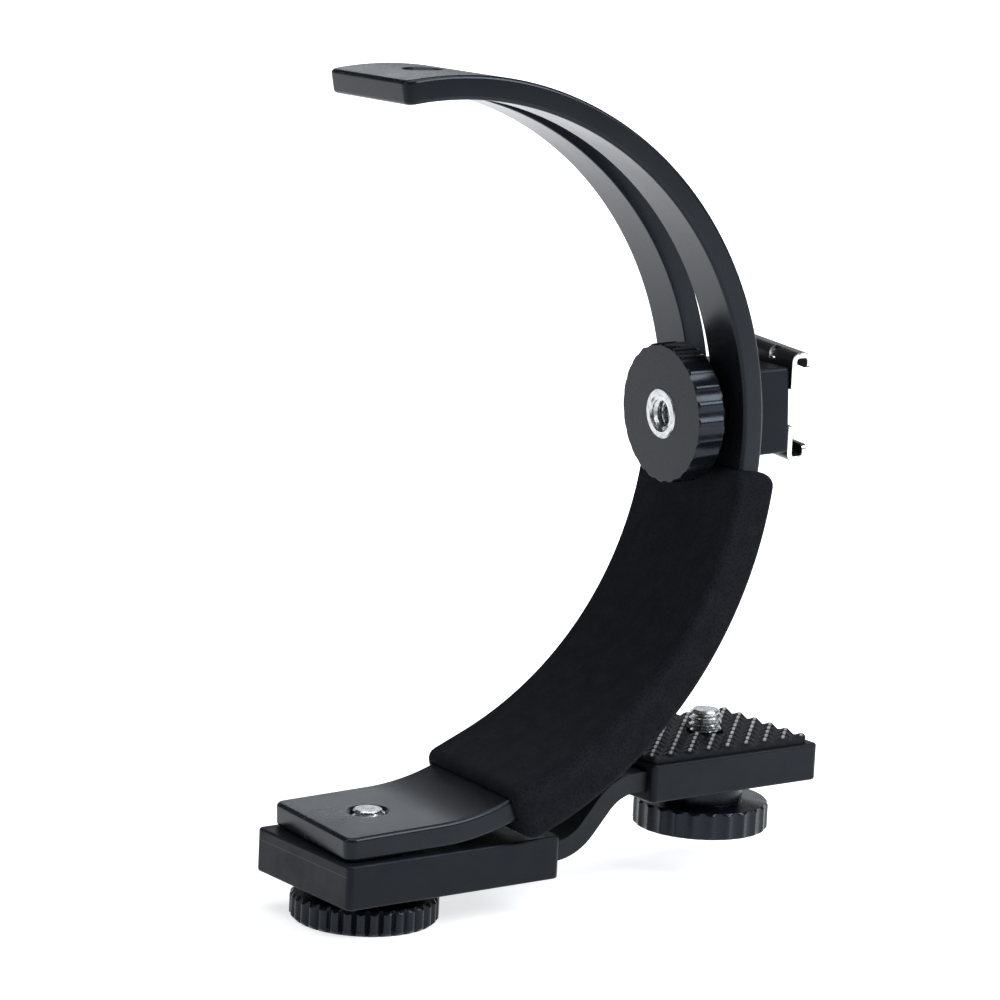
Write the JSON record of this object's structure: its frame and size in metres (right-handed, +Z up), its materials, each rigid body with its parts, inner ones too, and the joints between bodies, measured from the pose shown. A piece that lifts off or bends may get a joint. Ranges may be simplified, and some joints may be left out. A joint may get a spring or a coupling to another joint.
{
  "type": "camera flash bracket",
  "caption": "C-shaped arm on a base bar with a camera screw, carrying a cold shoe that slides along the arc, with a foam hand grip and a tripod socket.",
  "frame": {"origin": "mouth of the tripod socket, on the swivel axis of the arm", "axes": "+Z up along the swivel axis, +X from the arm's foot towards the camera platform; the arm lies in the XZ plane and its C opens towards -X"},
  "size_m": [0.1126, 0.0398, 0.1548],
  "materials": {
    "arm_paint": "satin black paint",
    "foam": "matte closed-cell foam",
    "washer_nylon": "matte black",
    "block_plastic": "moulded, fine grain",
    "bar_steel": "dark satin coating",
    "knob_plastic": "moulded, half gloss",
    "bright_metal": "bright nickel plate",
    "pad_rubber": "matte moulded rubber",
    "spring_steel": "oiled",
    "shoe_paint": "black with bare edges"
  },
  "bodies": {
    "base": {"base_strip": "bar_steel", "seat_block": "block_plastic", "camera_platform": "block_plastic", "platform_pad": "pad_rubber", "clamp_washer": "washer_nylon", "camera_knob_washer": "washer_nylon", "pivot_washer": "washer_nylon"},
    "arm": {"c_arm": "arm_paint", "foam_grip": "foam"},
    "clamp_knob": {"clamp_knob": "knob_plastic", "clamp_stud": "bright_metal"},
    "camera_knob": {"camera_knob": "knob_plastic", "camera_screw": "bright_metal", "camera_screw_clip": "spring_steel"},
    "shoe_carriage": {"shoe_block": "block_plastic", "cold_shoe": "shoe_paint", "shoe_screw": "bright_metal", "shoe_saddle_washer": "washer_nylon"},
    "shoe_knob": {"shoe_knob": "knob_plastic", "shoe_knob_insert": "bright_metal"}
  },
  "joints": [
    {"name": "arm_swivel", "type": "hinge", "parent": "base", "child": "arm", "pos_m": [0, 0, 0.0152], "axis": [0, 0, 1], "continuous": true},
    {"name": "clamp_knob_turn", "type": "hinge", "parent": "base", "child": "clamp_knob", "pos_m": [0, 0, 0], "axis": [0, 0, 1], "continuous": true},
    {"name": "camera_knob_turn", "type": "hinge", "parent": "base", "child": "camera_knob", "pos_m": [0.07874, 0.00744, 0.0085], "axis": [0, 0, 1], "continuous": true},
    {"name": "shoe_slide", "type": "hinge", "parent": "arm", "child": "shoe_carriage", "pos_m": [0.00607, 0, 0.08815], "axis": [0, -1, 0], "range_deg": [0, 70.9]},
    {"name": "shoe_knob_turn", "type": "hinge", "parent": "shoe_carriage", "child": "shoe_knob", "pos_m": [0.05869, 0, 0.091], "axis": [0.9985, 0, 0.0541], "continuous": true}
  ]
}
